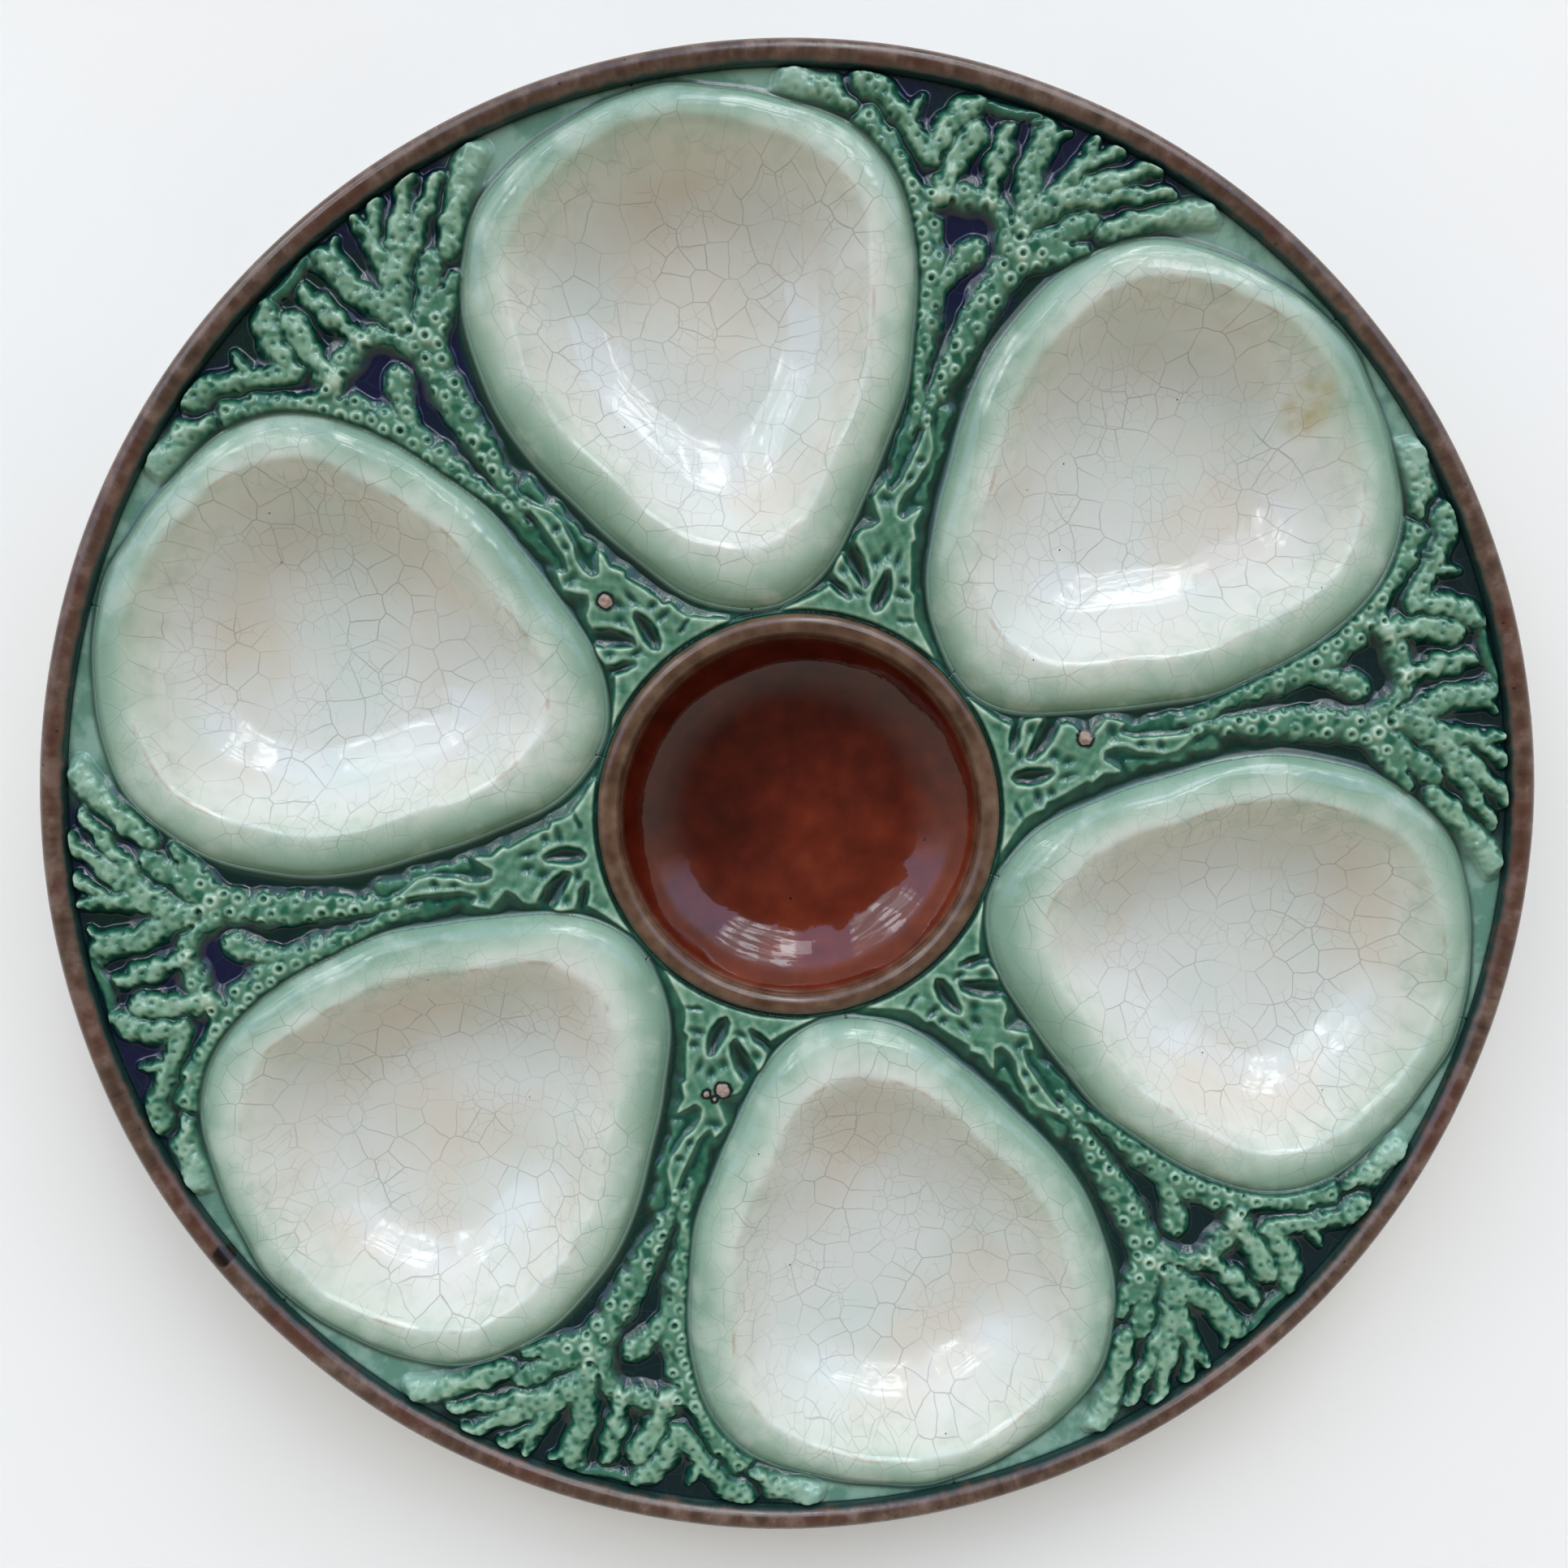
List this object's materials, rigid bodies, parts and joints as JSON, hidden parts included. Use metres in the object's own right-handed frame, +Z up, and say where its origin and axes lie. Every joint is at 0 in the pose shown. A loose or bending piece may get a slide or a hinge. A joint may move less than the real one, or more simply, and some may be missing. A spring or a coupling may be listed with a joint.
{
  "type": "oyster plate",
  "caption": "Round majolica oyster plate: lobed teardrop wells round a central sauce well, coral relief between them, raised brown rim and foot ring.",
  "frame": {"origin": "centre of the foot ring's resting face, on the plate's axis", "axes": "+Z up out of the sauce well, the picture's right is +X and its top is +Y"},
  "size_m": [0.24, 0.24, 0.025],
  "materials": {
    "well_cream_glaze": "gloss",
    "coral_green_glaze": "gloss",
    "rim_brown_glaze": "gloss",
    "sauce_brown_glaze": "gloss",
    "back_glaze": "gloss",
    "foot_clay": "matte"
  },
  "bodies": {
    "root": {"plate_body": "back_glaze", "foot_ring": "foot_clay", "rim_band": "rim_brown_glaze", "sauce_well": "sauce_brown_glaze", "oyster_well_1": "well_cream_glaze", "oyster_well_2": "well_cream_glaze", "oyster_well_3": "well_cream_glaze", "oyster_well_4": "well_cream_glaze", "oyster_well_5": "well_cream_glaze", "oyster_well_6": "well_cream_glaze", "coral_sprig_1": "coral_green_glaze", "coral_sprig_2": "coral_green_glaze", "coral_sprig_3": "coral_green_glaze", "coral_sprig_4": "coral_green_glaze", "coral_sprig_5": "coral_green_glaze", "coral_sprig_6": "coral_green_glaze"}
  },
  "joints": []
}
